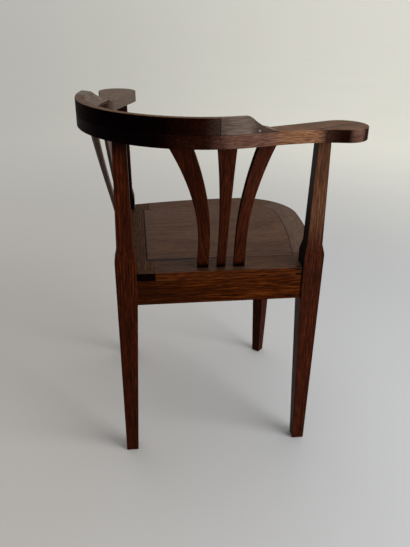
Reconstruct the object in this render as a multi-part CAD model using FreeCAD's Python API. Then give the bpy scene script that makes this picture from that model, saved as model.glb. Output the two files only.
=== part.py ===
"""Corner chair: a square seat set cornerwise, three posts, a front leg, slatted back sides and a crested bow.

Pieces are laid out on the bench with the back post at the origin, the right side along +X and the left side
along +Y. At the end the whole chair is turned so that the sitter faces -Y, and its origin is on the floor
under its middle.
"""
import FreeCAD
import Part

import math
import os
from FreeCAD import Placement, Rotation, Vector

# Posts and legs
post_spacing = 373.5          # centre to centre of neighbouring posts
post_section = 41.0           # square section at the seat
foot_section = 25.9           # square section on the floor
foot_splay = 5.8              # a foot's centre stands this far out of its post's centre, each way
front_foot_section = 22.0     # square section of the front leg on the floor
shoulder_start = 27.0         # seat top to the foot of the shoulder
shoulder_height = 20.5        # height of the sloping shoulder
neck_section = 31.8           # square section above the shoulder
post_top_section = 25.2       # square section under the arm
post_tenon_diameter = 16.0    # round tenon into the arm
post_tenon_length = 16.0

# Heights
seat_height = 445.0           # floor to seat top
arm_rise = 256.8              # seat top to the arm's underside
arm_thickness = 23.4
crest_height = 29.1           # arm top to crest top

# Aprons
apron_depth = 52.7            # height of an apron
apron_thickness = 20.0
apron_recess = 1.6            # apron face behind post face
apron_tenon_thickness = 9.0
apron_tenon_height = 38.0
apron_tenon_length = 20.0
front_tenon_length = 18.0     # tenon into the front leg, along the apron's middle

# Seat frame and panel
seat_board_thickness = 16.7
back_strip = 60.0             # seat edge to panel, on the two back sides
front_strip = 49.0            # seat edge to panel, round the front
ledge_width = 16.0            # ledge under the panel
panel_thickness = 9.0
panel_gap = 0.9               # gap round the panel
front_radius = 130.0          # round front of the seat
front_radius_inset = 81.5     # its centre, in from the side posts' centre lines
kerf_length = 15.0            # saw kerfs beside the right post
kerf_height = 1.6
kerf_depth = 6.0

# Slats
slat_thickness = 7.8
slat_foot_inset = 1.4         # slat's middle at the seat, inside the post centre line
slat_setback = 6.5            # slat's middle at the arm, inside the arm's middle line
slat_foot_shift = 2.0         # middle slat's foot, past the middle of its side
slat_foot_pitch = 36.4        # middle slat to side slat at the seat
slat_top_pitch = 21.6         # middle slat to side slat at the arm, degrees round the arm arc
slat_bow = 0.43               # how much more a slat leans at its foot than on average, as a share
slat_straight = 58.0          # stretch above the seat before a slat bends sideways
slat_bend_sections = 4        # sections that shape the bend
side_slat_foot_width = 23.0
side_slat_top_width = 44.0
middle_slat_foot_width = 17.8
middle_slat_top_width = 35.3
slat_tenon_thickness = 4.5
slat_tenon_shoulder = 3.0     # tenon narrower than the slat, each edge
slat_tenon_length = 11.0

# Arms
arm_width = 38.7
arm_arc_inset = 28.0          # the arm arc's centre, behind the middle of the seat square
arm_turn_angle = 63.0         # back corner to where the outer edge leaves the arc, degrees
paddle_radius = 43.7
paddle_reach = 34.0           # paddle's centre, past the side post
paddle_outset = 10.0          # paddle's centre, outside the side post
arm_waist_back = 12.5         # hollow of the outer edge, short of the side post
arm_waist_outset = 47.0       # the edge there, outside the side post

# Crest
crest_joint_angle = 47.6      # back corner to the joint in the crest, degrees
crest_ramp_angle = 60.1       # back corner to the top of the ramp, degrees
crest_ramp_length = 54.0
crest_ramp_fall = 41.0        # slope at the top of the ramp, degrees
crest_shoulder = 5.5          # rounding between crest top and ramp, along each
crest_tail = 1.6              # thickness where the ramp runs out
crest_top_width = 19.0
crest_top_fall = 1.5          # top's inner edge, below its outer edge
crest_lip = 3.0               # upright edge under the sloping inner face

# Corner blocks
block_leg = 55.0              # reach along each apron from the post
block_height = 25.0
block_grip = 14.0             # block left under a screw head
block_screw_reach = 30.0      # screw from the post, along the apron

# Fasteners
screw_diameter = 4.0
screw_head_diameter = 8.0
screw_head_height = 2.6
screw_slot_width = 1.0
screw_slot_depth = 1.3
screw_point = 5.0
block_screw_length = 30.0
seat_screw_sink = 4.0         # head below the block's underside
seat_screw_bite = 11.0        # screw in the seat board
seat_screw_inset = 4.8        # screw further into the block than its side screws' middle, each way
crest_screw_sink = 4.0        # head below the arm's underside
crest_screw_bite = 14.0       # screw in the crest
crest_screw_inset = 11.0      # screw in from the arm's outer edge
crest_screw_angles = (10.0, 27.0, 43.0, 52.0)
dowel_diameter = 8.0
dowel_length = 36.0
dowel_skin = 1.0              # seat board left over an upright dowel, under the panel
apron_dowel_end = 93.0        # upright dowel from the nearest post's centre line
apron_dowel_pitch = 150.0     # between the upright dowels of a front apron
small_dowel_diameter = 6.0
small_dowel_length = 40.0
crest_dowel_height = 18.5     # arm top to the crest joint's dowel
crest_dowel_inset = 7.0       # that dowel in from the crest's outer face
crest_dowel_length = 32.0
joint_clearance = 0.15        # glue line round tenons, dowels and screws
notch_clearance = 0.3         # seat boards round the posts

# Worked out from the above
half_post = post_section / 2
seat_underside = seat_height - seat_board_thickness
apron_bottom = seat_underside - apron_depth
arm_underside = seat_height + arm_rise
arm_top = arm_underside + arm_thickness
crest_top = arm_top + crest_height
seat_edge = half_post - apron_recess             # seat edge and apron face, out of the post centre line
apron_inner = apron_thickness - seat_edge        # back apron's inner face, inside the post centre line
panel_line = back_strip - seat_edge
board_edge = panel_line + ledge_width            # inner edge of a back seat board
front_leg_centre = post_spacing - half_post / math.sqrt(2)
front_leg_face = post_spacing - half_post * math.sqrt(2)   # leg's side face on the apron's middle line
front_apron_inner = post_spacing - apron_thickness / 2
front_centre = post_spacing - front_radius_inset
front_swell = front_centre + front_radius - post_spacing - seat_edge   # round front, past the straight edge
front_run = front_centre - half_post             # side post to where the round starts
front_side_radius = (front_swell ** 2 + front_run ** 2) / (2 * front_swell)
arc_centre = post_spacing / 2 - arm_arc_inset
arc_middle_radius = arc_centre * math.sqrt(2)    # the arm's middle line passes over the back post
arc_outer_radius = arc_middle_radius + arm_width / 2
arc_inner_radius = arc_middle_radius - arm_width / 2
paddle_centre = Vector(post_spacing + paddle_reach, -paddle_outset, 0)
arm_waist = Vector(post_spacing - arm_waist_back, -arm_waist_outset, 0)
up = Vector(0, 0, 1)
origin = Vector(0, 0, 0)
mirror_normal = Vector(1, -1, 0).normalize()
quarter_turn = 90.0                              # degrees
back_corner = 2.5 * quarter_turn                 # bearing of the back post from the arm arc's centre
set_down_turn = -1.5 * quarter_turn              # bench to chair, so that the sitter faces -Y
joint_thirds = (1 / 3, 2 / 3)                    # dowels across a seat joint, as shares of its width
aprons = ("back_right_apron", "back_left_apron", "front_right_apron", "front_left_apron")
seat_rails = ("back_right_seat_rail", "back_left_seat_rail", "front_right_seat_rail", "front_left_seat_rail")
arms = ("right_arm", "left_arm")


# Plain shapes

def box(low, high):
    """Box between two opposite corners."""
    size = high - low
    return Part.makeBox(size.x, size.y, size.z, low)


def prism(points, height):
    """Upright prism over a closed outline of points."""
    return Part.Face(Part.makePolygon(points + points[:1])).extrude(up * height)


def rectangle(centre, width, depth, z, turn=0.0):
    """Closed rectangular wire, turned about its centre by an angle in degrees."""
    x, y = width / 2, depth / 2
    corners = [Vector(i * x, j * y, z) for i, j in ((-1, -1), (1, -1), (1, 1), (-1, 1), (-1, -1))]
    wire = Part.makePolygon(corners)
    wire.Placement = Placement(Vector(centre.x, centre.y, 0), Rotation(up, turn))
    return wire


def square(centre, section, z, turn=0.0):
    """Closed square wire, turned about its centre by an angle in degrees."""
    return rectangle(centre, section, section, z, turn)


def stacked(squares):
    """Solid through a stack of squares, joined by flat faces."""
    steps = [Part.makeLoft([low, high], True, True) for low, high in zip(squares, squares[1:])]
    return steps[0].fuse(steps[1:]).removeSplitter()


def rod(diameter, length, middle, direction):
    """Round rod centred on a point."""
    start = middle - direction * (length / 2)
    return Part.makeCylinder(diameter / 2, length, start, direction)


def placed(shape, position, direction):
    """Copy of a shape drawn along +Z, moved to a position and turned along a direction."""
    copy = shape.copy()
    copy.Placement = Placement(position, Rotation(up, direction))
    return copy


def mirrored(shape):
    """The same piece on the other side of the chair."""
    return shape.mirror(origin, mirror_normal)


def on_arc(radius, angle, z=0.0):
    """Point on a circle about the arm arc's centre, by its angle from the back corner."""
    bearing = math.radians(back_corner + angle)
    return Vector(arc_centre + radius * math.cos(bearing), arc_centre + radius * math.sin(bearing), z)


def radial(angle):
    """Direction away from the arm arc's centre."""
    bearing = math.radians(back_corner + angle)
    return Vector(math.cos(bearing), math.sin(bearing), 0)


def tangent(angle):
    """Direction along the arm arc, away from the back corner on the right side."""
    return up.cross(radial(angle))


def bowed(start, end, rise):
    """Arc from start to end in the plane of start, end and rise, which is its bow at the middle."""
    return Part.Arc(start, (start + end) / 2 + rise, end).toShape()


# Fasteners

def wood_screw(length):
    """Slotted countersunk wood screw along +Z, with the top of its head at the origin."""
    head = Part.makeCone(screw_head_diameter / 2, screw_diameter / 2, screw_head_height)
    shank_length = length - screw_head_height - screw_point
    shank = Part.makeCylinder(screw_diameter / 2, shank_length, up * screw_head_height)
    point = Part.makeCone(screw_diameter / 2, 0, screw_point, up * (length - screw_point))
    half_slot = Vector(screw_head_diameter, screw_slot_width / 2, screw_slot_depth)
    slot = box(-half_slot, half_slot)
    return head.fuse([shank, point]).removeSplitter().cut(slot)


def screw_hole(length, sink):
    """Space that a wood screw takes up, with a counterbore of depth sink over its head."""
    head_radius = screw_head_diameter / 2 + joint_clearance
    shank_radius = screw_diameter / 2 + joint_clearance
    bore = Part.makeCylinder(head_radius, sink, up * -sink)
    head = Part.makeCone(head_radius, shank_radius, screw_head_height)
    shank = Part.makeCylinder(shank_radius, length + joint_clearance)
    return bore.fuse([head, shank])


def dowel_set(places, diameter, length):
    """Dowels and their holes at a list of (middle, direction)."""
    dowels = [rod(diameter, length, middle, direction) for middle, direction in places]
    room = 2 * joint_clearance
    holes = [rod(diameter + room, length + room, middle, direction) for middle, direction in places]
    return dowels, holes


# Posts and legs

def post(side_x, side_y):
    """A post with its leg. side_x and side_y point out of the chair, and the post stands at that corner."""
    x = post_spacing if side_x > 0 else 0.0
    y = post_spacing if side_y > 0 else 0.0
    centre = Vector(x, y, 0)
    foot = centre + Vector(side_x, side_y, 0) * foot_splay
    shoulder = seat_height + shoulder_start
    body = stacked([
        square(foot, foot_section, 0),
        square(centre, post_section, apron_bottom),
        square(centre, post_section, shoulder),
        square(centre, neck_section, shoulder + shoulder_height),
        square(centre, post_top_section, arm_underside),
    ])
    tenon = Part.makeCylinder(post_tenon_diameter / 2, post_tenon_length, centre + up * arm_underside)
    return body.fuse(tenon)


def front_leg():
    """The leg under the round front, set diagonally, flush with the tops of the aprons."""
    centre = Vector(front_leg_centre, front_leg_centre, 0)
    diagonal = quarter_turn / 2
    return stacked([
        square(centre, front_foot_section, 0, diagonal),
        square(centre, post_section, apron_bottom, diagonal),
        square(centre, post_section, seat_underside, diagonal),
    ])


def post_tenon_hole(centre):
    """Hole in an arm for a post's round tenon."""
    radius = post_tenon_diameter / 2 + joint_clearance
    return Part.makeCylinder(radius, post_tenon_length + joint_clearance, centre + up * arm_underside)


# Aprons

def tenon_band(clearance=0.0):
    """Lowest and highest point of an apron's tenons."""
    middle = (apron_bottom + seat_underside) / 2
    half = apron_tenon_height / 2 + clearance
    return middle - half, middle + half


def back_tenons(clearance=0.0):
    """Both tenons of the back right apron, grown by a clearance."""
    low, high = tenon_band(clearance)
    middle = apron_inner - apron_thickness / 2
    half = apron_tenon_thickness / 2 + clearance
    reach = apron_tenon_length + clearance
    near = box(Vector(half_post - reach, middle - half, low), Vector(half_post, middle + half, high))
    far_face = post_spacing - half_post
    far = box(Vector(far_face, middle - half, low), Vector(far_face + reach, middle + half, high))
    return [near, far]


def back_right_apron():
    board = box(Vector(half_post, -seat_edge, apron_bottom),
                Vector(post_spacing - half_post, apron_inner, seat_underside))
    return board.fuse(back_tenons())


def front_tenons(clearance=0.0):
    """Both tenons of the front right apron: square into the side post, bevelled into the front leg."""
    low, high = tenon_band(clearance)
    half = apron_tenon_thickness / 2 + clearance
    reach = apron_tenon_length + clearance
    near = box(Vector(post_spacing - half, half_post - reach, low),
               Vector(post_spacing + half, half_post, high))
    tip = front_leg_face + front_tenon_length + clearance
    far = prism([
        Vector(post_spacing - half, front_leg_face - half, low),
        Vector(post_spacing + half, front_leg_face + half, low),
        Vector(post_spacing + half, tip, low),
        Vector(post_spacing - half, tip, low),
    ], high - low)
    return [near, far]


def front_right_apron():
    half = apron_thickness / 2
    board = prism([
        Vector(post_spacing - half, half_post, apron_bottom),
        Vector(post_spacing + half, half_post, apron_bottom),
        Vector(post_spacing + half, front_leg_face + half, apron_bottom),
        Vector(post_spacing - half, front_leg_face - half, apron_bottom),
    ], apron_depth)
    return board.fuse(front_tenons())


# Seat

def front_edge(inset, y):
    """Point of the front right edge, set in: a gentle arc from the side post that runs into the round."""
    radius = front_side_radius - inset
    axis = front_centre + front_radius - front_side_radius
    return Vector(axis + math.sqrt(radius ** 2 - (front_centre - y) ** 2), y, 0)


def seat_outline(back, inset, z):
    """Closed face of the seat's plan: back edges at a distance from the post lines, front edges set in."""
    start = back if inset else half_post
    right = [front_edge(inset, y) + up * z for y in (front_centre, (start + front_centre) / 2, start)]
    corner = Vector(right[-1].x, back, z)
    outline = [right[-1], corner, Vector(back, back, z)]
    left = [Vector(p.y, p.x, z) for p in reversed(right)]
    outline += [Vector(corner.y, corner.x, z), left[0]]
    nose = (front_radius - inset) / math.sqrt(2) + front_centre
    edges = [Part.Arc(*right).toShape()]
    edges += [Part.makeLine(a, b) for a, b in zip(outline, outline[1:]) if a != b]
    edges += [Part.Arc(*left).toShape(), Part.Arc(left[-1], Vector(nose, nose, z), right[0]).toShape()]
    return Part.Face(Part.Wire(edges))


def seat_ring():
    """The whole seat frame in one, with its ledge, rebate and post notches, before it is divided."""
    ring = seat_outline(-seat_edge, 0.0, seat_underside).extrude(up * seat_board_thickness)
    opening = seat_outline(board_edge, front_strip + ledge_width, seat_underside)
    rebate = seat_outline(panel_line, front_strip, seat_height - panel_thickness)
    ring = ring.cut(opening.extrude(up * seat_board_thickness)).cut(rebate.extrude(up * panel_thickness))
    half = half_post + notch_clearance
    corners = (Vector(0, 0, 0), Vector(post_spacing, 0, 0), Vector(0, post_spacing, 0))
    reach = Vector(half, half, 0)
    notches = [box(c - reach + up * seat_underside, c + reach + up * seat_height) for c in corners]
    return ring.cut(notches)


def kerfs():
    """Saw kerfs at the top and bottom of the seat edge beside the right post."""
    start = Vector(post_spacing - half_post - kerf_length, -seat_edge, 0)
    size = Vector(kerf_length, kerf_depth, kerf_height)
    levels = (seat_underside, seat_height - kerf_height)
    return [box(start + up * z, start + up * z + size) for z in levels]


def seat_boards():
    """The boards of the seat frame: the back left one runs through, the others butt, the front ones mitre."""
    ring = seat_ring()
    far = 2 * post_spacing
    height = seat_board_thickness

    def region(points):
        return prism([Vector(x, y, seat_underside) for x, y in points], height)

    edge = board_edge
    left = ring.common(region([(-far, -far), (edge, -far), (edge, far), (-far, far)]))
    right = ring.common(region([(edge, -far), (far, -far), (far, edge), (edge, edge)])).cut(kerfs())
    front_right = ring.common(region([(edge, edge), (far, edge), (far, far)]))
    front_left = ring.common(region([(edge, edge), (far, far), (edge, far)]))
    return {"back_left_seat_rail": left, "back_right_seat_rail": right,
            "front_right_seat_rail": front_right, "front_left_seat_rail": front_left}


def seat_panel():
    plan = seat_outline(panel_line + panel_gap, front_strip + panel_gap, seat_height - panel_thickness)
    return plan.extrude(up * panel_thickness)


# Slats

def slat_sizes():
    """Name to (foot's middle, foot width, angle round the arm arc, top width) of the right side's slats."""
    middle = post_spacing / 2 + slat_foot_shift
    middle_angle = quarter_turn / 2 + math.degrees(math.asin(arm_arc_inset / arc_middle_radius))
    sizes = {"middle": (middle, middle_slat_foot_width, middle_angle, middle_slat_top_width)}
    for name, way in (("inner", -1), ("outer", 1)):
        foot, angle = middle + way * slat_foot_pitch, middle_angle + way * slat_top_pitch
        sizes[name] = (foot, side_slat_foot_width, angle, side_slat_top_width)
    return sizes


def slat_section(sizes, rise, thickness, shoulder=0.0):
    """Rectangle across a slat at a rise above the seat. Slats lean out, bend aside and turn with the arm."""
    foot, foot_width, angle, top_width = sizes
    top = on_arc(arc_middle_radius - slat_setback, angle)
    part_way = rise / arm_rise
    share = part_way + slat_bow * part_way * (1 - part_way)
    bend = (max(rise - slat_straight, 0.0) / (arm_rise - slat_straight)) ** 2
    x = foot + (top.x - foot) * bend
    y = slat_foot_inset + (top.y - slat_foot_inset) * share
    width = foot_width + (top_width - foot_width) * bend - 2 * shoulder
    turn = (angle - quarter_turn / 2) * share
    return rectangle(Vector(x, y, 0), width, thickness, seat_height + rise, turn)


def slat_tenons(sizes, clearance=0.0):
    """Foot and top tenon of a slat, grown by a clearance."""
    thickness = slat_tenon_thickness + 2 * clearance
    shoulder = slat_tenon_shoulder - clearance
    reach = up * (slat_tenon_length + clearance)
    foot = Part.Face(slat_section(sizes, 0.0, thickness, shoulder)).extrude(reach * -1)
    top = Part.Face(slat_section(sizes, arm_rise, thickness, shoulder)).extrude(reach)
    return [foot, top]


def slat(sizes):
    """One slat between seat and arm, with both tenons."""
    step = (arm_rise - slat_straight) / slat_bend_sections
    rises = [0.0] + [slat_straight + step * i for i in range(slat_bend_sections + 1)]
    board = Part.makeLoft([slat_section(sizes, rise, slat_thickness) for rise in rises], True, False)
    return board.fuse(slat_tenons(sizes))


# Arms and crest

def arm_plan(z):
    """Plan of the right arm from the joint over the back post to the round paddle."""
    turn = on_arc(arc_outer_radius, arm_turn_angle)
    chord = arm_waist - turn
    swing = tangent(arm_turn_angle).getAngle(chord)
    swing = swing if tangent(arm_turn_angle).cross(chord).z > 0 else -swing
    hollow_rise = chord.cross(up).normalize() * (chord.Length / 2 * math.tan(swing / 2))
    from_waist = paddle_centre - arm_waist
    side_bearing = math.atan2(from_waist.y, from_waist.x) - math.asin(paddle_radius / from_waist.Length)
    side_length = math.sqrt(from_waist.Length ** 2 - paddle_radius ** 2)
    paddle_side = arm_waist + Vector(math.cos(side_bearing), math.sin(side_bearing), 0) * side_length
    arc_point = Vector(arc_centre, arc_centre, 0)
    to_paddle = paddle_centre - arc_point
    lean = math.acos((arc_inner_radius + paddle_radius) / to_paddle.Length)
    bearing = math.atan2(to_paddle.y, to_paddle.x) - lean
    across = Vector(math.cos(bearing), math.sin(bearing), 0)
    leave_arc = arc_point + across * arc_inner_radius
    meet_paddle = paddle_centre - across * paddle_radius
    inner_angle = math.degrees(radial(0).getAngle(across))
    inner_back = on_arc(arc_inner_radius, 0)
    paddle_tip = paddle_centre + Vector(paddle_radius, 0, 0)
    edges = [
        Part.Arc(on_arc(arc_outer_radius, 0), on_arc(arc_outer_radius, arm_turn_angle / 2), turn).toShape(),
        bowed(turn, arm_waist, hollow_rise),
        Part.makeLine(arm_waist, paddle_side),
        Part.Arc(paddle_side, paddle_tip, meet_paddle).toShape(),
        Part.makeLine(meet_paddle, leave_arc),
        Part.Arc(leave_arc, on_arc(arc_inner_radius, inner_angle / 2), inner_back).toShape(),
        Part.makeLine(inner_back, on_arc(arc_outer_radius, 0)),
    ]
    plan = Part.Face(Part.Wire(edges))
    plan.translate(up * z)
    return plan


def turned(points, first, last):
    """Solid of a section at the back corner, swept about the arm arc's axis between two angles."""
    start = Part.Face(Part.makePolygon(points + points[:1]))
    axis = Vector(arc_centre, arc_centre, 0)
    start.rotate(axis, up, first)
    return start.revolve(axis, up, last - first)


def section_point(radius, z):
    """Point of a cross-section of the bow, at the back corner."""
    return on_arc(radius, 0, z)


def crest_slope():
    """Inner side of the crest, in section: from its lip up the sloping face, then out along its top."""
    low = section_point(arc_inner_radius, arm_top + crest_lip)
    high = section_point(arc_outer_radius - crest_top_width, crest_top - crest_top_fall)
    return [low, high, section_point(arc_outer_radius, crest_top)]


def crest_middle():
    foot = section_point(arc_inner_radius, arm_top)
    outer_foot = section_point(arc_outer_radius, arm_top)
    section = crest_slope() + [outer_foot, foot]
    return turned(section, -crest_joint_angle, crest_joint_angle)


def crest_room():
    """Space over the inner side of the right end, to cut away."""
    clear = crest_height
    low_in = section_point(arc_inner_radius / 2, arm_top + crest_lip)
    high_in = section_point(arc_inner_radius / 2, crest_top + clear)
    high_out = section_point(arc_outer_radius, crest_top + clear)
    section = crest_slope() + [high_out, high_in, low_in]
    return turned(section, 0, quarter_turn)


def ramp_room():
    """Space over the ramp at the crest's right end and past its tail, to cut away."""
    along, outward = tangent(crest_ramp_angle), radial(crest_ramp_angle)
    top = on_arc(arc_outer_radius, crest_ramp_angle, crest_top)
    fall = math.radians(crest_ramp_fall)
    slope = along * math.cos(fall) - up * math.sin(fall)
    round_start, round_end = top - along * crest_shoulder, top + slope * crest_shoulder
    foot = top + along * crest_ramp_length - up * (crest_height - crest_tail)
    over, under = round_end - round_start, foot - round_end
    swell = outward.cross(over).normalize() * (over.Length / 2 * math.tan(fall / 4))
    sag = under.cross(outward).normalize() * (under.Length / 2 * math.tan(slope.getAngle(under) / 2))
    below = foot - up * (2 * crest_tail)
    far = along * (2 * post_spacing)
    above = up * crest_height
    edges = [
        bowed(round_start, round_end, swell),
        bowed(round_end, foot, sag),
        Part.makeLine(foot, below),
        Part.makeLine(below, below + far),
        Part.makeLine(below + far, round_start + far + above),
        Part.makeLine(round_start + far + above, round_start + above),
        Part.makeLine(round_start + above, round_start),
    ]
    face = Part.Face(Part.Wire(edges))
    face.translate(outward * -post_spacing)
    return face.extrude(outward * (2 * post_spacing))


def crest_right_end():
    blank = arm_plan(arm_top).extrude(up * crest_height)
    axis = Vector(arc_centre, arc_centre, 0)
    reach = 2 * arc_outer_radius
    before = [axis + radial(angle) * reach for angle in (-crest_joint_angle, 0, crest_joint_angle)]
    passed = prism([axis + up * arm_top] + [p + up * arm_top for p in before], crest_height)
    return blank.cut([passed, crest_room(), ramp_room()])


# Corner blocks

def block_plans():
    """Outline and screws of each block. A screw is a place on an apron's inner face and its way off it."""
    post_face = post_spacing - half_post
    leg_end = front_leg_face - apron_thickness / 2
    leg_corner = front_leg_centre - half_post * math.sqrt(2)
    inner = front_apron_inner
    reach = half_post + block_leg
    back = [(half_post, apron_inner), (reach, apron_inner), (apron_inner, reach), (apron_inner, half_post),
            (half_post, half_post)]
    right = [(inner, half_post), (inner, reach), (post_face - block_leg, apron_inner),
             (post_face, apron_inner), (post_face, half_post)]
    front = [(inner, leg_end - block_leg), (inner, leg_end), (front_leg_centre, leg_corner),
             (leg_corner, front_leg_centre), (leg_end, inner), (leg_end - block_leg, inner)]
    to_left, to_right = Vector(-1, 0, 0), Vector(1, 0, 0)
    to_back, to_front = Vector(0, -1, 0), Vector(0, 1, 0)
    near, far = half_post + block_screw_reach, leg_end - block_screw_reach
    return {
        "back_corner_block": (back, [(Vector(near, apron_inner, 0), to_front),
                                     (Vector(apron_inner, near, 0), to_right)]),
        "right_corner_block": (right, [(Vector(post_face - block_screw_reach, apron_inner, 0), to_front),
                                       (Vector(inner, near, 0), to_left)]),
        "front_corner_block": (front, [(Vector(inner, far, 0), to_left), (Vector(far, inner, 0), to_back)]),
    }


def swapped(plan):
    """A corner block's plan on the other side of the chair."""
    outline, screws = plan
    return ([(y, x) for x, y in outline],
            [(Vector(place.y, place.x, 0), Vector(way.y, way.x, 0)) for place, way in screws])


# Putting the pieces together

def cut_away(pieces, names, rooms):
    """Cuts the same spaces out of several pieces."""
    for name in names:
        pieces[name] = pieces[name].cut(rooms)


def both_sides(rooms):
    """Spaces on the right side and the same ones on the left."""
    return rooms + [mirrored(room) for room in rooms]


def add_pair(pieces, name, shape):
    """A piece of the right side and its mirror image on the left."""
    pieces[name] = shape
    pieces[name.replace("right", "left")] = mirrored(shape)


def add_posts_and_aprons(pieces):
    posts = {"back_post": post(-1, -1), "right_post": post(1, -1), "left_post": post(-1, 1)}
    posts["front_leg"] = front_leg()
    pieces.update(posts)
    add_pair(pieces, "back_right_apron", back_right_apron())
    add_pair(pieces, "front_right_apron", front_right_apron())
    cut_away(pieces, posts, both_sides(back_tenons(joint_clearance) + front_tenons(joint_clearance)))


def add_slats(pieces):
    foot_rooms, top_rooms = [], []
    for name, sizes in slat_sizes().items():
        add_pair(pieces, "right_slat_" + name, slat(sizes))
        foot_room, top_room = slat_tenons(sizes, joint_clearance)
        foot_rooms.append(foot_room)
        top_rooms.append(top_room)
    cut_away(pieces, ("back_right_seat_rail", "back_left_seat_rail"), both_sides(foot_rooms))
    cut_away(pieces, arms, both_sides(top_rooms))


def add_arms(pieces):
    add_pair(pieces, "right_arm", arm_plan(arm_underside).extrude(up * arm_thickness))
    rooms = [post_tenon_hole(origin), post_tenon_hole(Vector(post_spacing, 0, 0))]
    cut_away(pieces, arms, both_sides(rooms))
    off_middle = (arm_width + post_tenon_diameter) / 4
    level = arm_underside + arm_thickness / 2
    places = [(on_arc(arc_middle_radius + way * off_middle, 0, level), tangent(0)) for way in (-1, 1)]
    dowels, holes = dowel_set(places, small_dowel_diameter, small_dowel_length)
    cut_away(pieces, arms, holes)
    pieces["arm_joint_dowels"] = Part.makeCompound(dowels)


def add_crest(pieces):
    pieces["crest_middle"] = crest_middle()
    add_pair(pieces, "crest_right_end", crest_right_end())
    crest = ("crest_middle", "crest_right_end", "crest_left_end")
    length = arm_thickness - crest_screw_sink + crest_screw_bite
    radius = arc_outer_radius - crest_screw_inset
    level = arm_underside + crest_screw_sink
    spots = [on_arc(radius, way * angle, level) for angle in crest_screw_angles for way in (-1, 1)]
    pieces["crest_screws"] = Part.makeCompound([placed(wood_screw(length), spot, up) for spot in spots])
    holes = [placed(screw_hole(length, crest_screw_sink), spot, up) for spot in spots]
    cut_away(pieces, arms + crest, holes)
    dowel_radius = arc_outer_radius - crest_dowel_inset
    level = arm_top + crest_dowel_height
    angles = (-crest_joint_angle, crest_joint_angle)
    places = [(on_arc(dowel_radius, angle, level), tangent(angle)) for angle in angles]
    dowels, holes = dowel_set(places, small_dowel_diameter, crest_dowel_length)
    cut_away(pieces, crest, holes)
    pieces["crest_joint_dowels"] = Part.makeCompound(dowels)


def add_corner_blocks(pieces):
    plans = block_plans()
    plans["left_corner_block"] = swapped(plans["right_corner_block"])
    bottom = seat_underside - block_height
    seat_screw_length = block_height - seat_screw_sink + seat_screw_bite
    side_places, seat_places = [], []
    for name, (outline, screws) in plans.items():
        pieces[name] = prism([Vector(x, y, bottom) for x, y in outline], block_height)
        middle = up * (bottom + block_height / 2)
        side_places += [(place + middle + way * block_grip, way * -1) for place, way in screws]
        if name != "front_corner_block":
            (first, first_way), (second, second_way) = screws
            spot = (first + second) / 2 + (first_way + second_way) * seat_screw_inset
            seat_places.append((spot + up * (bottom + seat_screw_sink), up))
    for name, places, length, sink, into in (
        ("corner_block_screws", side_places, block_screw_length, block_leg, aprons),
        ("seat_frame_screws", seat_places, seat_screw_length, seat_screw_sink, seat_rails),
    ):
        pieces[name] = Part.makeCompound([placed(wood_screw(length), *place) for place in places])
        holes = [placed(screw_hole(length, sink), *place) for place in places]
        cut_away(pieces, tuple(plans) + into, holes)


def add_seat_dowels(pieces):
    """Upright dowels from the aprons into the seat frame, and level ones in the seat frame's own joints."""
    apron_middle = apron_inner - apron_thickness / 2
    top = seat_height - panel_thickness - joint_clearance - dowel_skin
    level = up * (top - dowel_length / 2)
    right = [(apron_dowel_end, apron_middle), (post_spacing - apron_dowel_end, apron_middle),
             (post_spacing, apron_dowel_end), (post_spacing, apron_dowel_end + apron_dowel_pitch)]
    left = [(y, x) for x, y in right]
    places = [(Vector(x, y, 0) + level, up) for x, y in right + left]
    dowels, holes = dowel_set(places, dowel_diameter, dowel_length)
    cut_away(pieces, aprons + seat_rails, holes)
    pieces["apron_dowels"] = Part.makeCompound(dowels)

    middle = up * (seat_underside + seat_board_thickness / 2)
    places = []
    for share in joint_thirds:
        across = Vector(board_edge, back_strip * share - seat_edge, 0)
        spot = front_edge(front_strip * share, board_edge)
        nose = front_centre + (front_radius - front_strip * share) / math.sqrt(2)
        places += [
            (across + middle, Vector(1, 0, 0)),
            (spot + middle, Vector(0, 1, 0)),
            (Vector(spot.y, spot.x, 0) + middle, Vector(1, 0, 0)),
            (Vector(nose, nose, 0) + middle, mirror_normal),
        ]
    dowels, holes = dowel_set(places, small_dowel_diameter, small_dowel_length)
    cut_away(pieces, seat_rails, holes)
    pieces["seat_joint_dowels"] = Part.makeCompound(dowels)


def build():
    """All pieces of the chair by name, on the bench."""
    pieces = {}
    add_posts_and_aprons(pieces)
    pieces.update(seat_boards())
    pieces["seat_panel"] = seat_panel()
    add_arms(pieces)
    add_slats(pieces)
    add_crest(pieces)
    add_corner_blocks(pieces)
    add_seat_dowels(pieces)
    return pieces


def set_down(shape):
    """A bench piece in the chair's own frame: the sitter faces -Y, the origin is under the box's middle."""
    back_reach = max(half_post * math.sqrt(2), arm_width / 2)
    front_reach = front_centre * math.sqrt(2) + front_radius
    copy = shape.copy()
    copy.rotate(origin, up, set_down_turn)
    copy.translate(Vector(0, (front_reach - back_reach) / 2, 0))
    return copy


os.makedirs("parts", exist_ok=True)
for node, piece in build().items():
    set_down(piece).exportStep("parts/" + node + ".step")
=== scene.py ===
"""Finishes, studio and camera of the corner chair: dark stained oak, waxed and worn by use."""

import math

import bpy
from mathutils import Matrix, Vector

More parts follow.
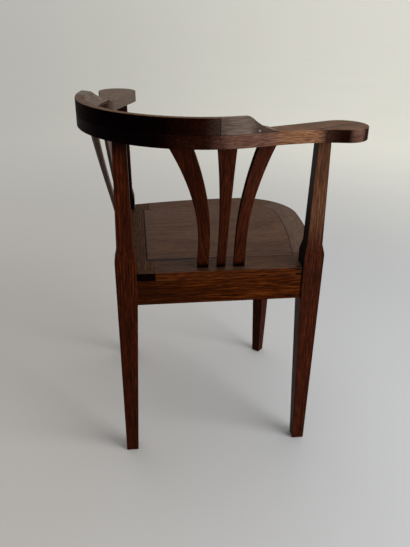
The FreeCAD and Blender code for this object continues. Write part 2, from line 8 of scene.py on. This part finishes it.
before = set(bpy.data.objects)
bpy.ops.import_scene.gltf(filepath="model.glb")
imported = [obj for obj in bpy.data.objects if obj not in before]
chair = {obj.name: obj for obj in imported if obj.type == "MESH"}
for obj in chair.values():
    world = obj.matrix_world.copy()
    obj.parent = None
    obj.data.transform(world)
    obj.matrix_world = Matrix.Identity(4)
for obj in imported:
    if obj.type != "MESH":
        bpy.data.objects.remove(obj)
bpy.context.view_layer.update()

# Directions of the chair frame: the sitter faces -Y, +X is on the left, two sides run from the back post
to_right_post = Vector((-1, -1, 0)).normalized()
to_left_post = Vector((1, -1, 0)).normalized()
upward = Vector((0, 0, 1))
out_of_right_side = Vector((-1, 1, 0)).normalized()
out_of_left_side = Vector((1, 1, 0)).normalized()
rightward = Vector((-1, 0, 0))
leftward = Vector((1, 0, 0))
backward = Vector((0, 1, 0))
forward = Vector((0, -1, 0))

# Places on the chair, in metres: heights, distances from the origin along a side, and points of the crest
seat_level = 0.445
shoulder_level = 0.472
arm_underside = 0.7018
apron_end = 0.1713
kerf_start = apron_end - 0.015
panel_edge = -0.1397
crest_knot = (0.1408, 0.2119, 0.7531)
crest_chip = (-0.2192, 0.1394, 0.7294)


def stain(red, green, blue):
    """A colour given as a display shows it, 0 to 255, in the linear light that shaders take."""
    shown = [channel / 255 for channel in (red, green, blue)]
    return (*[c / 12.92 if c < 0.04045 else ((c + 0.055) / 1.055) ** 2.4 for c in shown], 1)


class Value:
    """A number on a shader socket. Python's operators on it add Math nodes."""

    def __init__(self, finish, socket):
        self.finish = finish
        self.socket = socket

    def math(self, operation, first, second=0.0):
        return self.finish.node("Math", {"operation": operation}, {0: first, 1: second})

    def __add__(self, other):
        return self.math("ADD", self, other)

    def __radd__(self, other):
        return self.math("ADD", other, self)

    def __sub__(self, other):
        return self.math("SUBTRACT", self, other)

    def __rsub__(self, other):
        return self.math("SUBTRACT", other, self)

    def __mul__(self, other):
        return self.math("MULTIPLY", self, other)

    def __rmul__(self, other):
        return self.math("MULTIPLY", other, self)

    def __truediv__(self, other):
        return self.math("DIVIDE", self, other)

    def __rtruediv__(self, other):
        return self.math("DIVIDE", other, self)

    def __abs__(self):
        return self.math("ABSOLUTE", self)

    def root(self):
        return self.math("SQRT", self)

    def fraction(self):
        return self.math("FRACT", self)

    def rise(self, low, high):
        """0 up to low, 1 from high on, with a smooth step between; falls where low is above high."""
        limits = {"Value": self, "From Min": low, "From Max": high}
        return self.finish.node("MapRange", {"interpolation_type": "SMOOTHSTEP"}, limits)


class Finish:
    """A material or a world in the making."""

    def __init__(self, owner):
        owner.use_nodes = True
        self.owner = owner
        self.tree = owner.node_tree
        self.tree.nodes.clear()

    def node(self, kind, settings, sockets, output=0):
        """Adds a node: its settings first, then the values or links of its sockets."""
        made = self.tree.nodes.new("ShaderNode" + kind)
        for name, setting in settings.items():
            setattr(made, name, setting)
        for name, value in sockets.items():
            if isinstance(value, Value):
                self.tree.links.new(value.socket, made.inputs[name])
            else:
                made.inputs[name].default_value = value
        return Value(self, made.outputs[output]) if made.outputs else None

    def mix(self, share, first, second):
        """The first colour, and the second by share."""
        return self.node("Mix", {"data_type": "RGBA"}, {0: share, 6: first, 7: second}, 2)

    def along(self, vector, direction):
        """How far a vector reaches along a direction."""
        return self.node("VectorMath", {"operation": "DOT_PRODUCT"}, {0: vector, 1: direction}, 1)

    def place(self):
        """The point of the surface in the chair frame, in metres."""
        return self.node("TexCoord", {}, {}, "Object")

    def normal(self):
        return self.node("NewGeometry", {}, {}, "Normal")

    def noise(self, place, density, detail=2.0, bend=0.0):
        """Cloudy noise, about 0 to 1, with so many clouds a metre along each axis."""
        scaled = self.node("VectorMath", {"operation": "MULTIPLY"}, {0: place, 1: density})
        sockets = {"Vector": scaled, "Scale": 1.0, "Detail": detail, "Distortion": bend}
        return self.node("TexNoise", {}, sockets)

    def near(self, centre, low, high):
        """1 within low of a point of the chair, falling to 0 at high, in metres."""
        apart = {0: self.place(), 1: centre}
        return self.node("VectorMath", {"operation": "DISTANCE"}, apart, 1).rise(high, low)

    def end(self, sockets, kind="BsdfPrincipled", outlet="OutputMaterial"):
        """Closes the tree with a shader and its outlet."""
        self.node(outlet, {}, {"Surface": self.node(kind, {}, sockets)})


def material(name):
    return Finish(bpy.data.materials.new(name))


# Colours of the stained oak, each from its pores to its high spots
post_tones = [stain(24, 6, 1), stain(48, 15, 3), stain(80, 32, 9)]
rubbed_post_tones = [stain(58, 34, 21), stain(92, 60, 41), stain(130, 92, 66)]
slat_tones = [stain(22, 6, 1), stain(45, 14, 3), stain(74, 30, 9)]
apron_tones = [stain(26, 7, 1), stain(60, 23, 4), stain(104, 51, 12)]
rail_top_tones = [stain(38, 22, 14), stain(62, 41, 28), stain(88, 60, 42)]
panel_tones = [stain(50, 29, 18), stain(78, 51, 34), stain(104, 73, 50)]
bow_tones = [stain(14, 4, 2), stain(34, 12, 6), stain(58, 27, 16)]
red_bow_tones = [stain(4, 1, 0), stain(13, 3, 1), stain(28, 9, 4)]
black_bow_tones = [stain(2, 0, 0), stain(4, 1, 1), stain(12, 4, 3)]
bow_top_tones = [stain(70, 47, 32), stain(105, 76, 56), stain(134, 102, 77)]
rubbed_and_lit_tones = [stain(62, 40, 31), stain(94, 66, 55), stain(116, 87, 75)]
worn_tones = [stain(72, 45, 30), stain(118, 82, 59), stain(158, 119, 90)]
# A grey for the painted sheen of the wax, where it reflects the bright surroundings
grey_sheen_tones = [stain(74, 62, 54), stain(96, 83, 74), stain(114, 100, 90)]
rubbed_oak = stain(146, 108, 80)
end_grain = stain(3, 1, 1)
# A near black for painted shade in gaps, kerfs, on sheltered faces and at the slats' feet
painted_shade_black = stain(5, 2, 1)


class Oak:
    """Stained oak in the making.

    The grain runs along one direction, and face looks out of the broad side. Faces that look up take
    the top tones, if there are any. Bands says how strongly the figure shows, rough how matt the wood is.
    """

    def __init__(self, name, grain, face, tones, top_tones=None, bands=0.3, rough=0.42):
        self.finish = finish = material(name + "_oak")
        across = face.cross(grain).normalized()
        board_axes = Matrix((grain, across, grain.cross(across))).transposed()
        turned = {"Vector": finish.place(), "Rotation": board_axes.to_euler(), "Location": shift_of(name)}
        place = finish.node("Mapping", {"vector_type": "TEXTURE"}, turned)

        # Growth rings, so many a metre, round a pith that lies off the board and wanders along it
        rings = 300
        pith_aside = 0.1
        pith_below = 0.11
        wander = finish.noise(place, (2.2, 9, 9), 1.0) - 0.5
        aside, below = [finish.node("SeparateXYZ", {}, {"Vector": place}, axis) for axis in ("Y", "Z")]
        sideways = aside + (wander * 0.03 + pith_aside)
        inward = below + (wander * 0.02 + pith_below)
        ring = ((sideways * sideways + inward * inward).root() * rings + wander * 3).fraction()
        early_wood = ring.rise(0.0, 0.3) * ring.rise(0.95, 0.35)

        # Broad figure, streaks, flecks and open pores, each finer than the last
        figure = finish.noise(place, (1.6, 18, 18), 2.0, 0.4).rise(0.33, 0.67)
        streaks = finish.noise(place, (12, 300, 300), 3.0).rise(0.35, 0.65)
        flecks = finish.noise(place, (45, 760, 760), 2.0).rise(0.35, 0.65)
        pores = finish.noise(place, (40, 1300, 1300), 1.0).rise(0.52, 0.66) * (early_wood * 0.7 + 0.3)
        varied = (figure * 0.5 + streaks - 0.75) * bands + (flecks - 0.5) * 0.42
        self.tone = varied - early_wood * 0.14 + 0.52

        # The top faces are rubbed and dusty, the sides keep their stain
        self.normal = finish.normal()
        self.upper = finish.along(self.normal, upward).rise(0.35, 0.58)
        sides = self.tinted(tones)
        self.colour = finish.mix(self.upper, sides, self.tinted(top_tones)) if top_tones else sides
        self.cover(pores * 0.6, tones[0])

        # Where the arrises are, so wide, and where hands and cloth have rubbed in patches
        arris_width = 0.003
        rounded = finish.node("Bevel", {"samples": 6}, {"Radius": arris_width})
        self.arris = (1 - finish.along(rounded, self.normal)).rise(0.02, 0.2)
        self.patches = finish.noise(finish.place(), (38, 38, 38), 4.0).rise(0.42, 0.66)
        self.cut_end = abs(finish.along(self.normal, grain)).rise(0.8, 0.97)
        self.roughness = pores * 0.2 + streaks * 0.08 + self.cut_end * 0.3 + rough
        self.relief = flecks * 0.35 - pores * 0.9 + streaks * 0.4

    def tinted(self, tones):
        """A colour between three tones: dark at 0, middle at a half, light at 1."""
        lower = self.finish.mix(self.tone.rise(0.0, 0.55), tones[0], tones[1])
        return self.finish.mix(self.tone.rise(0.45, 1.0), lower, tones[2])

    def cover(self, share, colour):
        """Lays a colour by share over the ones before it."""
        self.colour = self.finish.mix(share, self.colour, colour)

    def blacken(self, low, high):
        """Painted shade on the bow: dark red, then black, where it looks back; and a painted grey sheen on
        its left.
        """
        red = Vector((0.1, 0.995, 0))
        black = Vector((-0.1, 0.995, 0))
        sheen_direction = Vector((0.79, 0.61, 0))
        self.cover(self.looking(red, low, high) * 0.85, self.tinted(red_bow_tones))
        self.cover(self.looking(black, 0.9, 0.975) * 0.95, self.tinted(black_bow_tones))
        self.cover(self.looking(sheen_direction, 0.97, 0.999) * 0.45, grey_sheen_tones[0])

    def rub(self, share):
        """Arrises rubbed down to paler wood in patches."""
        self.cover(self.arris * self.patches * share, rubbed_oak)

    def looking(self, direction, low, high):
        """Rises from 0 to 1 as the surface turns to a direction, between two cosines."""
        return self.finish.along(self.normal, direction).rise(low, high)

    def facing(self, direction):
        """1 on the faces that look along a direction."""
        return self.looking(direction, 0.7, 0.92)

    def reach(self, direction, low, high):
        """Rises from 0 to 1 between two distances from the chair's origin along a direction."""
        return self.finish.along(self.finish.place(), direction).rise(low, high)

    def waxed(self, wax, cut=0.97):
        """Ends the finish, with so much gloss from its wax, and so much stain drunk by its cut ends."""
        self.cover(self.cut_end * cut, end_grain)
        bump = self.finish.node("Bump", {}, {"Strength": 0.5, "Distance": 0.0003, "Height": self.relief})
        looks = {"Base Color": self.colour, "Roughness": self.roughness, "Normal": bump}
        self.finish.end({**looks, "Specular IOR Level": wax})
        return self.finish.owner


def shift_of(name):
    """A place of its own in the tree for each board, so that no two share their grain."""
    order = sorted(chair).index(name)
    steps = (0.731, 0.0173, 0.0291)
    spans = (1.9, 0.05, 0.04)
    return Vector([order * step % span for step, span in zip(steps, spans)])


def run_of(name):
    """The direction of an upright piece, from its foot to its head."""
    places = [vertex.co for vertex in chair[name].data.vertices]
    margin = 0.015
    low = min(p.z for p in places) + margin
    high = max(p.z for p in places) - margin
    foot = [p for p in places if p.z < low]
    head = [p for p in places if p.z > high]
    return (sum(head, Vector()) / len(head) - sum(foot, Vector()) / len(foot)).normalized()


def dress(name, made):
    """Puts a finish on a CAD node."""
    for slot in chair[name].material_slots:
        slot.material = made


# Back post, with painted shade under the arms, and front leg
shade_under_arms = (arm_underside - 0.0338, arm_underside + 0.0012)
for name, face in (("back_post", out_of_right_side), ("front_leg", forward)):
    oak = Oak(name, run_of(name), face, post_tones)
    if name == "back_post":
        # Painted shade on the post's head, under the arms
        oak.cover(oak.reach(upward, *shade_under_arms) * 0.85, red_bow_tones[0])
    oak.rub(0.25)
    dress(name, oak.waxed(wax=0.03))

# Side posts, worn on their outer faces from the shoulder up, with painted shade on their sheltered faces
# above the seat, deepest near it
worn_heights = (shoulder_level - 0.002, shoulder_level + 0.088)
shade_heights = (seat_level - 0.01, seat_level + 0.005)
deep_shade_heights = (seat_level + 0.155, seat_level + 0.055)
for name, face, sheltered in (
    ("right_post", out_of_right_side, -to_right_post),
    ("left_post", out_of_left_side, -to_left_post),
):
    oak = Oak(name, run_of(name), face, post_tones)
    worn = oak.facing(face) * oak.reach(upward, *worn_heights)
    oak.cover(worn * 0.62, oak.tinted(rubbed_post_tones))
    # Painted shade on the sheltered face, darkest just above the seat
    sheltered_shade = oak.facing(sheltered) * oak.reach(upward, *shade_heights)
    oak.cover(sheltered_shade * 0.8, bow_tones[0])
    oak.cover(sheltered_shade * oak.reach(upward, *deep_shade_heights) * 0.95, painted_shade_black)
    oak.rub(0.25)
    dress(name, oak.waxed(wax=0.04))

# Aprons, painted darker towards the back post as shade; a painted shadow fills the open joint of the back
# right one with the right post
shade_depths = (0.08, 0.27)
joint_shadow = (apron_end - 0.0035, apron_end - 0.0018)
for name, grain, face in (
    ("back_right_apron", to_right_post, out_of_right_side),
    ("back_left_apron", to_left_post, out_of_left_side),
    ("front_right_apron", to_left_post, -out_of_left_side),
    ("front_left_apron", to_right_post, -out_of_right_side),
):
    oak = Oak(name, grain, face, apron_tones, bands=0.36)
    # Painted shade, deepening towards the back post
    oak.cover(oak.reach(backward, *shade_depths) * 0.75, apron_tones[0])
    oak.rub(0.15)
    if name == "back_right_apron":
        # Painted shadow in the open joint with the right post
        oak.cover(oak.reach(to_right_post, *joint_shadow), painted_shade_black)
    dress(name, oak.waxed(wax=0.015))

# Slats: painted shade on the edge that looks back, a painted grey sheen on that edge on the left and on the
# inner faces, and a painted contact shadow at the feet
above_foot_shadow = (seat_level + 0.004, seat_level + 0.016)
for side, face, edge in (
    ("right", out_of_right_side, -to_right_post),
    ("left", out_of_left_side, -to_left_post),
):
    for rank in ("inner", "middle", "outer"):
        name = side + "_slat_" + rank
        oak = Oak(name, run_of(name), face, slat_tones, bands=0.25)
        # Painted shade on the edge that looks back
        oak.cover(oak.facing(edge) * 0.8, oak.tinted(red_bow_tones))
        if side == "left":
            # Painted grey sheen on the left slats' edges
            oak.cover(oak.facing(edge) * 0.4, oak.tinted(grey_sheen_tones))
        # Painted grey sheen on the inner faces
        oak.cover(oak.facing(-face) * 0.75, oak.tinted(grey_sheen_tones))
        oak.rub(0.25)
        # Painted contact shadow at the foot, on the seat
        oak.cover((1 - oak.reach(upward, *above_foot_shadow)) * 0.97, painted_shade_black)
        dress(name, oak.waxed(wax=0.03))

# Seat frame, worn paler at the front; painted shadow lines in the saw kerfs and the joint beside the right
# post
worn_run = (-0.03, 0.1)
kerf_run = (kerf_start, kerf_start + 0.001)
upper_kerf_shadow = (seat_level - 0.0055, seat_level - 0.0045)
lower_kerf_shadow = (seat_level - 0.0115, seat_level - 0.0125)
for name, grain, tops, wax in (
    ("back_right_seat_rail", to_right_post, rail_top_tones, 0.03),
    ("back_left_seat_rail", to_left_post, rail_top_tones, 0.01),
    ("front_right_seat_rail", to_left_post, panel_tones, 0.03),
    ("front_left_seat_rail", to_right_post, panel_tones, 0.03),
):
    oak = Oak(name, grain, upward, apron_tones, tops, bands=0.2, rough=0.46)
    oak.rub(0.15)
    if name == "front_right_seat_rail":
        # Painted grey sheen on the top of the front right rail
        oak.cover(oak.upper * 0.35, oak.tinted(grey_sheen_tones))
    if name == "back_right_seat_rail":
        oak.cover(oak.upper * oak.reach(to_right_post, *worn_run) * 0.6, oak.tinted(panel_tones))
        # Painted shadow lines in the kerfs and the open joint at the right post's end
        edge = oak.facing(out_of_right_side) * oak.reach(to_right_post, *kerf_run)
        oak.cover(edge * oak.reach(upward, *upper_kerf_shadow), painted_shade_black)
        oak.cover(edge * oak.reach(upward, *lower_kerf_shadow), painted_shade_black)
        oak.cover(edge * oak.reach(to_right_post, *joint_shadow), painted_shade_black)
    dress(name, oak.waxed(wax))

# Seat panel, with painted shadow along the gap at its two back edges, less of it towards the right post
right_gap_shadow = (panel_edge + 0.0075, panel_edge + 0.0042)
left_gap_shadow = (panel_edge + 0.0035, panel_edge + 0.0015)
shadow_run = (0.1, -0.04)
panel = Oak("seat_panel", to_right_post, upward, apron_tones, panel_tones, bands=0.16, rough=0.46)
near_right = panel.reach(to_left_post, *right_gap_shadow) * panel.reach(to_right_post, *shadow_run)
near_left = panel.reach(to_right_post, *left_gap_shadow)
# Painted shadow in the gap round the panel
panel.cover(near_right * 0.9, painted_shade_black)
panel.cover(near_left * 0.85, painted_shade_black)
dress("seat_panel", panel.waxed(wax=0.04))

# Arms, with painted shade black behind the sitter, worn to pale wood and lit by painted window light along
# the outer edge between crest and paddle.
# Each stretch is given by two distances along the edge: where its layer starts and where it is whole.
# A turn gives the same by two cosines of the angle between the surface's normal and a direction.
arm_back_turn = (0.72, 0.94)
paddle_light_turn = (0.907, 1.0)
bare_stretch = (-0.06, -0.03)
pale_top_stretch = (0.11, 0.05)
rubbed_stretch = (-0.105, -0.04)
worn_stretch = (0.0, 0.06)
paddle_stretch = (0.108, 0.124)
shaded_paddle_stretch = (0.115, 0.15)
paddle_light = Vector((-0.89, 0.456, 0))
bow_bands = 0.24
bow_rough = 0.4
for name, edge_run, out_of_edge in (
    ("right_arm", Vector((-0.519, -0.855, 0)), Vector((-0.855, 0.519, 0))),
    ("left_arm", Vector((0.519, -0.855, 0)), Vector((0.855, 0.519, 0))),
):
    oak = Oak(name, edge_run, upward, bow_tones, bow_top_tones, bow_bands, bow_rough)
    oak.blacken(*arm_back_turn)
    edge = oak.facing(out_of_edge)
    bare_top = oak.upper * oak.reach(edge_run, *bare_stretch)
    past_crest = oak.reach(edge_run, *worn_stretch)
    on_paddle = oak.reach(edge_run, *paddle_stretch)
    # Painted shade on the top where it runs under the crest
    oak.cover(oak.upper - bare_top, bow_tones[0])
    # Painted shade on the paddle's side beyond the waist, which turns away from the window
    shaded_paddle_side = oak.reach(edge_run, *shaded_paddle_stretch) * (1 - oak.upper)
    oak.cover(shaded_paddle_side * 0.6, oak.tinted(red_bow_tones))
    oak.cover(bare_top * oak.reach(edge_run, *pale_top_stretch) * 0.3, oak.tinted(worn_tones))
    # Rubbed and worn wood on the outer edge, made paler still by painted light where the edge turns to the
    # window
    rubbed = edge * oak.reach(edge_run, *rubbed_stretch) * (1 - on_paddle)
    oak.cover(rubbed, oak.tinted(rubbed_and_lit_tones))
    oak.cover(edge * past_crest * (1 - on_paddle), oak.tinted(worn_tones))
    if name == "right_arm":
        # Painted highlight of the window on the right paddle's round end
        shiny = oak.looking(paddle_light, *paddle_light_turn)
        oak.cover(shiny * on_paddle * 0.8, oak.tinted(rubbed_and_lit_tones))
    else:
        # Painted grey sheen on the left arm's top past the crest, and painted light on its sides
        oak.cover(bare_top * 0.5, oak.tinted(grey_sheen_tones))
        oak.cover((1 - oak.upper) * past_crest * 0.75, oak.tinted(grey_sheen_tones))
    oak.rub(past_crest * (1 - on_paddle) * 0.7)
    dress(name, oak.waxed(wax=0.01))

# Crest, with painted shade black behind the sitter and dark red towards its ends, and a painted grey sheen
# on its top at the left and on the right end
crest_back_turn = (0.58, 0.84)
sheen_top_stretch = (0.0, 0.12)
sheen_side_stretch = (0.155, 0.2)
sheen_end_stretch = (-0.09, -0.03)
ramp_stretch = (0.012, -0.01)
knot_reach = (0.002, 0.006)
chip_reach = (0.001, 0.003)
chip_tone = stain(150, 140, 130)
crest_run_right = Vector((-0.5736, -0.8192, 0))
crest_run_left = Vector((0.5736, -0.8192, 0))
out_of_right_end = Vector((-0.8192, 0.5736, 0))
crest = Oak("crest_middle", leftward, upward, bow_tones, bow_top_tones, bow_bands, bow_rough)
crest.blacken(*crest_back_turn)
# Painted grey sheen on the top towards the left, and on the side near the right end
crest.cover(crest.upper * crest.reach(leftward, *sheen_top_stretch) * 0.6, crest.tinted(grey_sheen_tones))
crest_sheen_side = (1 - crest.upper) * crest.reach(rightward, *sheen_side_stretch)
crest.cover(crest_sheen_side * 0.4, crest.tinted(grey_sheen_tones))
crest.cover(crest.finish.near(crest_knot, *knot_reach) * 0.8, bow_tones[0])
dress("crest_middle", crest.waxed(wax=0.004))
crest = Oak("crest_right_end", crest_run_right, upward, bow_tones, bow_top_tones, bow_bands, bow_rough)
before_ramp = crest.reach(crest_run_right, *ramp_stretch)
end_sheen = crest.reach(crest_run_right, *sheen_end_stretch) * (before_ramp * 0.7 + 0.3)
# Painted grey sheen on the outer face of the right end, less on the ramp
crest.cover(end_sheen * crest.facing(out_of_right_end) * 0.92, crest.tinted(grey_sheen_tones))
crest.cover(crest.finish.near(crest_chip, *chip_reach) * 0.5, chip_tone)
dress("crest_right_end", crest.waxed(wax=0.04, cut=0))
# Painted grey sheen on the left end's top
crest = Oak("crest_left_end", crest_run_left, upward, bow_tones, grey_sheen_tones, bow_bands, bow_rough)
crest.blacken(*crest_back_turn)
dress("crest_left_end", crest.waxed(wax=0.03, cut=0))


def raw_wood(name, grain, tones):
    """Unstained wood of the inner pieces, some of which show with the seat panel lifted."""
    return Oak(name, grain, upward, tones, rough=0.62).waxed(wax=0.2)


block_tones = [stain(96, 66, 40), stain(142, 106, 70), stain(176, 140, 98)]
dowel_tones = [stain(150, 112, 72), stain(186, 150, 104), stain(208, 176, 132)]
for name in ("back_corner_block", "right_corner_block", "left_corner_block", "front_corner_block"):
    dress(name, raw_wood(name, leftward, block_tones))
for name, grain in (
    ("apron_dowels", upward),
    ("seat_joint_dowels", to_right_post),
    ("arm_joint_dowels", to_right_post),
    ("crest_joint_dowels", crest_run_right),
):
    dress(name, raw_wood(name, grain, dowel_tones))


def screw_steel():
    """Plain wood screws, dulled and spotted with rust."""
    finish = material("screw_steel")
    spots = finish.noise(finish.place(), (420, 420, 420), 3.0).rise(0.5, 0.66)
    scratches = finish.noise(finish.place(), (900, 900, 2600), 2.0)
    colour = finish.mix(spots * 0.8, stain(128, 122, 114), stain(84, 52, 34))
    bump = finish.node("Bump", {}, {"Strength": 0.4, "Distance": 0.0001, "Height": scratches})
    looks = {"Base Color": colour, "Metallic": 1 - spots * 0.7, "Normal": bump}
    finish.end({**looks, "Roughness": scratches * 0.2 + spots * 0.3 + 0.25})
    return finish.owner


steel = screw_steel()
for name in ("corner_block_screws", "seat_frame_screws", "crest_screws"):
    dress(name, steel)


def joined_faces():
    """A modifier group that joins the faces of a solid along their edges and shades it by angle."""
    touching = 0.00001
    sharp_angle = math.radians(30)
    group = bpy.data.node_groups.new("joined_faces", "GeometryNodeTree")
    for way in ("INPUT", "OUTPUT"):
        group.interface.new_socket("Solid", in_out=way, socket_type="NodeSocketGeometry")
    given = group.nodes.new("NodeGroupInput")
    joined = group.nodes.new("GeometryNodeMergeByDistance")
    joined.inputs["Distance"].default_value = touching
    plain = group.nodes.new("GeometryNodeRemoveAttribute")
    plain.inputs["Name"].default_value = "custom_normal"
    smooth = group.nodes.new("GeometryNodeSetShadeSmooth")
    sharp = group.nodes.new("GeometryNodeSetShadeSmooth")
    sharp.domain = "EDGE"
    sharp.inputs["Shade Smooth"].default_value = False
    angle = group.nodes.new("GeometryNodeInputMeshEdgeAngle")
    steep = group.nodes.new("FunctionNodeCompare")
    steep.inputs[1].default_value = sharp_angle
    closing = group.nodes.new("NodeGroupOutput")
    for start, end in (
        (given.outputs[0], joined.inputs["Geometry"]),
        (joined.outputs["Geometry"], plain.inputs["Geometry"]),
        (plain.outputs["Geometry"], smooth.inputs["Geometry"]),
        (smooth.outputs["Geometry"], sharp.inputs["Geometry"]),
        (angle.outputs["Unsigned Angle"], steep.inputs[0]),
        (steep.outputs["Result"], sharp.inputs["Selection"]),
        (sharp.outputs["Geometry"], closing.inputs[0]),
    ):
        group.links.new(start, end)
    return group


# Eased arrises, in metres, by the kind of piece; of two kinds in a name the one listed first counts
eased = {
    "post": 0.0012,
    "leg": 0.0012,
    "apron": 0.0006,
    "slat": 0.0012,
    "rail": 0.0004,
    "panel": 0.0005,
    "arm": 0.0009,
    "end": 0.0004,
    "crest": 0.0014,
    "block": 0.001,
}
flat_angle = math.radians(0.4)
arris_angle = math.radians(38)
group = joined_faces()
for name, piece in chair.items():
    joined = piece.modifiers.new("joined_faces", "NODES")
    joined.node_group = group
    flat = piece.modifiers.new("whole_faces", "DECIMATE")
    flat.decimate_type = "DISSOLVE"
    flat.angle_limit = flat_angle
    kinds = [kind for kind in eased if kind in name.split("_")]
    if kinds and not name.endswith(("screws", "dowels")):
        easing = piece.modifiers.new("eased_arrises", "BEVEL")
        easing.width = eased[kinds[0]]
        easing.segments = 2
        easing.limit_method = "ANGLE"
        easing.angle_limit = arris_angle
        easing.use_clamp_overlap = False
        easing.harden_normals = True


# Studio: a plain pale floor, a soft lamp at the sitter's right and a pale surround
def floor():
    """The floor, in one pale tone near the chair and another far off, each painted brighter towards the
    light.
    """
    mesh = bpy.data.meshes.new("floor")
    reach = 400
    corners = [(x * reach, y * reach, 0) for x, y in ((-1, -1), (1, -1), (1, 1), (-1, 1))]
    mesh.from_pydata(corners, [], [(0, 1, 2, 3)])
    made = bpy.data.objects.new("floor", mesh)
    bpy.context.scene.collection.objects.link(made)
    finish = material("pale_floor")
    near_end = 0.8
    far_start = 3.2
    soft_middle = 0.8
    to_the_light = (-0.785, -0.619, 0)
    near = finish.near((0, 0, 0), near_end, far_start)
    away = finish.node("VectorMath", {"operation": "LENGTH"}, {0: finish.place()}, 1)
    # Painted light: the floor grows brighter towards the lamp's side
    aside = (finish.along(finish.place(), to_the_light) / (away + soft_middle)).rise(-0.4, 0.4)
    near_tone = finish.mix(aside, stain(192, 189, 185), stain(190, 191, 193))
    far_tone = finish.mix(aside, stain(208, 207, 201), stain(255, 254, 243))
    mottle = finish.noise(finish.place(), (1.6, 1.6, 1.6), 3.0)
    plain = finish.mix(near, far_tone, near_tone)
    colour = finish.mix(mottle * 0.06, plain, stain(150, 150, 150))
    finish.end({"Base Color": colour, "Roughness": 0.75, "Specular IOR Level": 0.2})
    mesh.materials.append(finish.owner)


floor()

lamp = bpy.data.lights.new("window_lamp", "AREA")
lamp.shape = "RECTANGLE"
lamp.size = 1.5
lamp.size_y = 1.7
lamp.energy = 50
lamp_holder = bpy.data.objects.new("window_lamp", lamp)
lamp_place = Vector((-2.3, -0.3, 1.05))
lamp_aim = Vector((0, 0, 0.45))
lamp_holder.location = lamp_place
lamp_holder.rotation_mode = "QUATERNION"
lamp_holder.rotation_quaternion = (lamp_aim - lamp_place).to_track_quat("-Z", "Y")
bpy.context.scene.collection.objects.link(lamp_holder)

surround = bpy.data.worlds.new("pale_surround")
bpy.context.scene.world = surround
sky = Finish(surround)
outlook = sky.node("TexCoord", {}, {}, "Generated")
shaded_side = Vector((0.2, 0.97, -0.1)).normalized()
shade = sky.along(outlook, shaded_side).rise(-0.25, 0.6)
glow = sky.mix(shade, stain(250, 249, 246), stain(132, 132, 134))
sky.end({"Color": glow, "Strength": 1.0}, "Background", "OutputWorld")

# Camera, as the photograph was taken, with its focal length and longer side in pixels
focal_length = 569.70
picture_height = 547
camera = bpy.data.cameras.new("camera")
camera.sensor_width = 36
camera.lens = focal_length * camera.sensor_width / picture_height
holder = bpy.data.objects.new("camera", camera)
view_right = Vector((-0.785169, -0.619172, 0.011668))
view_up = Vector((0.280624, -0.338935, 0.897983))
view_back = Vector((-0.552051, 0.708342, 0.439876))
stand = Matrix((view_right, view_up, view_back)).transposed().to_4x4()
stand.translation = Vector((-0.74318, 0.95722, 0.93468))
holder.matrix_world = stand
bpy.context.scene.collection.objects.link(holder)
bpy.context.scene.camera = holder
bpy.context.scene.view_settings.view_transform = "Standard"
